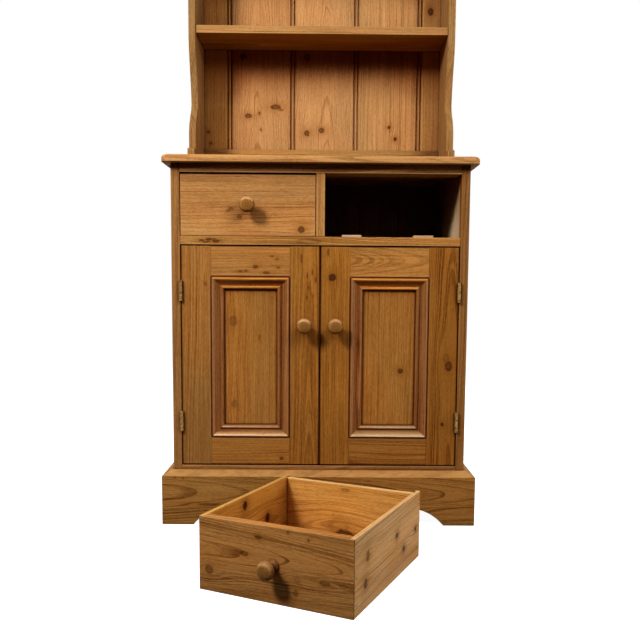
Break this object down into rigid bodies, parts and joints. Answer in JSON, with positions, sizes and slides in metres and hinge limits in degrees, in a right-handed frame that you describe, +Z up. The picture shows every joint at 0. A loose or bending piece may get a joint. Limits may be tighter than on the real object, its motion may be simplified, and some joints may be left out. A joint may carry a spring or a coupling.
{
  "type": "welsh dresser",
  "caption": "Freestanding pine dresser: panelled cupboard doors and drawers under a worktop, open plate rack with shaped sides and beaded boards above; a drawer stands on the floor in front.",
  "frame": {"origin": "on the floor, at the middle of the footprint of the dresser and the loose drawer in front of it", "axes": "+Z up, +X to the right seen from the front, +Y from the front to the back"},
  "size_m": [0.749, 0.9524, 1.74],
  "materials": {
    "waxed_pine": "waxed antique pine",
    "light_pine": "waxed pine, paler",
    "door_pine": "waxed pine, deeper tone",
    "moulding": "waxed pine, reddish",
    "turned_knob": "turned and waxed pine",
    "bare_pine": "unfinished pine",
    "brass": "aged brass"
  },
  "bodies": {
    "carcass": {"left_side": "waxed_pine", "right_side": "waxed_pine", "bottom_board": "waxed_pine", "top_rail": "waxed_pine", "mid_rail": "waxed_pine", "muntin": "waxed_pine", "centre_runner": "bare_pine", "cupboard_shelf": "bare_pine", "back_panel": "bare_pine", "plinth_front": "waxed_pine", "plinth_left": "waxed_pine", "plinth_right": "waxed_pine", "worktop": "light_pine", "right_stop_inner": "bare_pine", "right_stop_outer": "bare_pine", "rack_left_side": "waxed_pine", "rack_right_side": "waxed_pine", "rack_lower_shelf": "light_pine", "rack_upper_shelf": "light_pine", "rack_top": "waxed_pine", "rack_low_rail": "waxed_pine", "rack_back_board_1": "light_pine", "rack_back_board_2": "light_pine", "rack_back_board_3": "light_pine", "rack_back_board_4": "light_pine", "rack_back_board_5": "light_pine", "left_lower_hinge_fixed_leaf": "brass", "left_upper_hinge_fixed_leaf": "brass", "right_lower_hinge_fixed_leaf": "brass", "right_upper_hinge_fixed_leaf": "brass"},
    "left_door": {"left_door_hinge_stile": "door_pine", "left_door_lock_stile": "door_pine", "left_door_top_rail": "door_pine", "left_door_bottom_rail": "door_pine", "left_door_panel": "door_pine", "left_door_moulding": "moulding", "left_door_knob": "turned_knob", "left_lower_hinge_door_leaf": "brass", "left_upper_hinge_door_leaf": "brass"},
    "right_door": {"right_door_hinge_stile": "door_pine", "right_door_lock_stile": "door_pine", "right_door_top_rail": "door_pine", "right_door_bottom_rail": "door_pine", "right_door_panel": "door_pine", "right_door_moulding": "moulding", "right_door_knob": "turned_knob", "right_lower_hinge_door_leaf": "brass", "right_upper_hinge_door_leaf": "brass"},
    "left_drawer": {"left_drawer_front": "waxed_pine", "left_drawer_left_side": "bare_pine", "left_drawer_right_side": "bare_pine", "left_drawer_back": "bare_pine", "left_drawer_bottom": "bare_pine", "left_drawer_knob": "turned_knob"},
    "right_drawer": {"right_drawer_front": "waxed_pine", "right_drawer_left_side": "bare_pine", "right_drawer_right_side": "bare_pine", "right_drawer_back": "bare_pine", "right_drawer_bottom": "bare_pine", "right_drawer_knob": "turned_knob"}
  },
  "joints": [
    {"name": "left_door_hinge", "type": "hinge", "parent": "carcass", "child": "left_door", "pos_m": [-0.32875, 0.07204, 0.4035], "axis": [0, 0, -1], "range_deg": [0, 180]},
    {"name": "right_door_hinge", "type": "hinge", "parent": "carcass", "child": "right_door", "pos_m": [0.32875, 0.07204, 0.4035], "axis": [0, 0, 1], "range_deg": [0, 180]},
    {"name": "left_drawer_slide", "type": "slide", "parent": "carcass", "child": "left_drawer", "axis": [0, -1, 0], "range_m": [0, 0.33]},
    {"name": "right_drawer_lift", "type": "slide", "parent": "carcass", "child": "right_drawer", "axis": [0, 0, 1], "range_m": [0, 0.5]}
  ]
}
